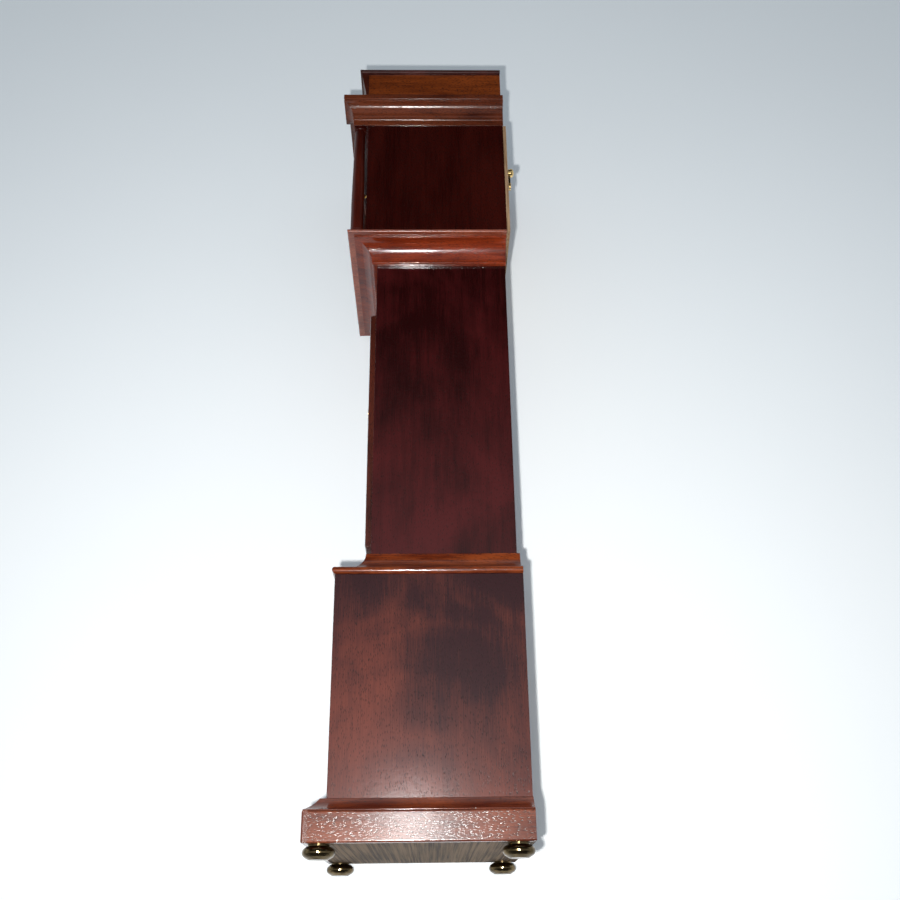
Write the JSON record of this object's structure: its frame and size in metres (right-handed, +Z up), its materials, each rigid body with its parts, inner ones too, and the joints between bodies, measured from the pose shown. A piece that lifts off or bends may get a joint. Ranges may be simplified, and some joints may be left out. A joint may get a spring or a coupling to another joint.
{
  "type": "longcase clock",
  "caption": "Miniature mahogany longcase clock with glazed hood door, arched trunk door, hooked back door, dial, hands and a spring-driven pendulum movement.",
  "frame": {"origin": "middle of the bounding box in X and Y, on the plane that the feet stand on", "axes": "+X to the viewer's right, +Y to the back, +Z up"},
  "size_m": [0.1466, 0.1186, 0.5096],
  "materials": {
    "mahogany_dark": "high gloss varnish over dark red-brown mahogany",
    "mahogany_mouldings": "gloss varnish over warm orange-brown mahogany",
    "mahogany_base": "satin varnish over red-brown mahogany with open pores",
    "raw_wood": "bare unfinished softwood",
    "brass_bright": "polished brass",
    "brass_antique": "dark antiqued brass",
    "steel": "plain turned steel",
    "hands": "gloss black",
    "dial": "aged ivory enamel",
    "glass": "clear"
  },
  "bodies": {
    "case": {"trunk_front": "mahogany_dark", "trunk_side_left": "mahogany_dark", "trunk_side_right": "mahogany_dark", "hood_front": "mahogany_dark", "hood_side_left": "mahogany_dark", "hood_side_right": "mahogany_dark", "column_left": "mahogany_dark", "column_right": "mahogany_dark", "hood_top_board": "mahogany_dark", "crest_moulding": "mahogany_dark", "plinth_moulding": "mahogany_dark", "base_moulding": "mahogany_mouldings", "throat_moulding": "mahogany_mouldings", "hood_base": "mahogany_mouldings", "cornice": "mahogany_mouldings", "top_box": "mahogany_mouldings", "top_board": "mahogany_mouldings", "plinth_front": "mahogany_base", "plinth_side_left": "mahogany_base", "plinth_side_right": "mahogany_base", "base_front": "mahogany_base", "base_side_left": "mahogany_base", "base_side_right": "mahogany_base", "bottom_board": "raw_wood", "back_board": "raw_wood", "hood_back_frame": "raw_wood", "seat_board": "raw_wood", "bun_feet": "brass_antique", "trunk_hinges": "brass_bright", "back_hinges": "brass_bright", "latch_screw": "brass_bright", "front_plate": "brass_bright", "back_plate": "brass_bright", "plate_pillars": "brass_bright", "dial_plate": "dial"},
    "hood_door": {"hood_door": "mahogany_dark", "hood_door_glass": "glass", "hood_door_knob": "brass_bright", "hood_door_pins": "brass_bright"},
    "trunk_door": {"trunk_door": "mahogany_dark", "trunk_door_escutcheon": "brass_bright", "trunk_door_leaves": "brass_bright"},
    "back_door": {"back_door": "raw_wood", "back_door_leaves": "brass_bright", "latch_stud": "brass_bright"},
    "latch_hook": {"latch_hook": "brass_bright"},
    "minute_hand": {"minute_hand": "hands", "cannon_pinion": "brass_bright"},
    "minute_wheel": {"minute_wheel": "brass_bright"},
    "hour_hand": {"hour_hand": "hands", "hour_wheel": "brass_bright"},
    "third_wheel": {"third_wheel": "brass_bright"},
    "centre_wheel": {"centre_wheel": "brass_bright"},
    "escape_wheel": {"escape_wheel": "brass_bright"},
    "spring_barrel": {"spring_barrel": "brass_bright", "mainspring": "steel"},
    "winding_arbor": {"winding_arbor": "steel"},
    "pendulum": {"pendulum_rod": "steel", "pendulum_bob": "brass_bright"},
    "pallets": {"pallets": "steel"}
  },
  "joints": [
    {"name": "hood_door_hinge", "type": "hinge", "parent": "case", "child": "hood_door", "pos_m": [-0.04335, -0.0354, 0.4173], "axis": [0, 0, -1], "range_deg": [0, 95]},
    {"name": "trunk_door_hinge", "type": "hinge", "parent": "case", "child": "trunk_door", "pos_m": [-0.0392, -0.03175, 0.25], "axis": [0, 0, -1], "range_deg": [0, 105]},
    {"name": "back_door_hinge", "type": "hinge", "parent": "case", "child": "back_door", "pos_m": [-0.047, 0.05595, 0.4173], "axis": [0, 0, 1], "range_deg": [0, 110]},
    {"name": "latch_hook_swing", "type": "hinge", "parent": "case", "child": "latch_hook", "pos_m": [0.054, 0.05625, 0.4263], "axis": [0, 1, 0], "range_deg": [0, 90]},
    {"name": "centre_wheel_turn", "type": "hinge", "parent": "case", "child": "centre_wheel", "pos_m": [0, 0, 0.4173], "axis": [0, 1, 0], "continuous": true},
    {"name": "minute_hand_turn", "type": "hinge", "parent": "case", "child": "minute_hand", "pos_m": [0, 0, 0.4173], "axis": [0, 1, 0], "continuous": true},
    {"name": "minute_wheel_turn", "type": "hinge", "parent": "case", "child": "minute_wheel", "pos_m": [0.012, 0, 0.4173], "axis": [0, 1, 0], "continuous": true},
    {"name": "hour_hand_turn", "type": "hinge", "parent": "case", "child": "hour_hand", "pos_m": [0, 0, 0.4173], "axis": [0, 1, 0], "continuous": true},
    {"name": "third_wheel_turn", "type": "hinge", "parent": "case", "child": "third_wheel", "pos_m": [0.01007, 0, 0.43168], "axis": [0, 1, 0], "continuous": true},
    {"name": "escape_wheel_turn", "type": "hinge", "parent": "case", "child": "escape_wheel", "pos_m": [0, 0, 0.44259], "axis": [0, 1, 0], "continuous": true},
    {"name": "spring_barrel_turn", "type": "hinge", "parent": "case", "child": "spring_barrel", "pos_m": [-0.01414, 0, 0.40316], "axis": [0, 1, 0], "continuous": true},
    {"name": "winding_arbor_turn", "type": "hinge", "parent": "case", "child": "winding_arbor", "pos_m": [-0.01414, 0, 0.40316], "axis": [0, 1, 0], "range_deg": [0, 2160]},
    {"name": "pendulum_swing", "type": "hinge", "parent": "case", "child": "pendulum", "pos_m": [0, 0, 0.45532], "axis": [0, 1, 0], "range_deg": [-3, 3]},
    {"name": "pallets_rock", "type": "hinge", "parent": "case", "child": "pallets", "pos_m": [0, 0, 0.45532], "axis": [0, 1, 0], "range_deg": [-3, 3]}
  ],
  "couplings": [
    {"joint": "minute_hand_turn", "follows": "centre_wheel_turn", "ratio": 1},
    {"joint": "minute_wheel_turn", "follows": "centre_wheel_turn", "ratio": -0.33333},
    {"joint": "hour_hand_turn", "follows": "centre_wheel_turn", "ratio": 0.083333},
    {"joint": "third_wheel_turn", "follows": "centre_wheel_turn", "ratio": -12},
    {"joint": "escape_wheel_turn", "follows": "centre_wheel_turn", "ratio": 120},
    {"joint": "spring_barrel_turn", "follows": "centre_wheel_turn", "ratio": -0.11111},
    {"joint": "pallets_rock", "follows": "pendulum_swing", "ratio": 1}
  ]
}
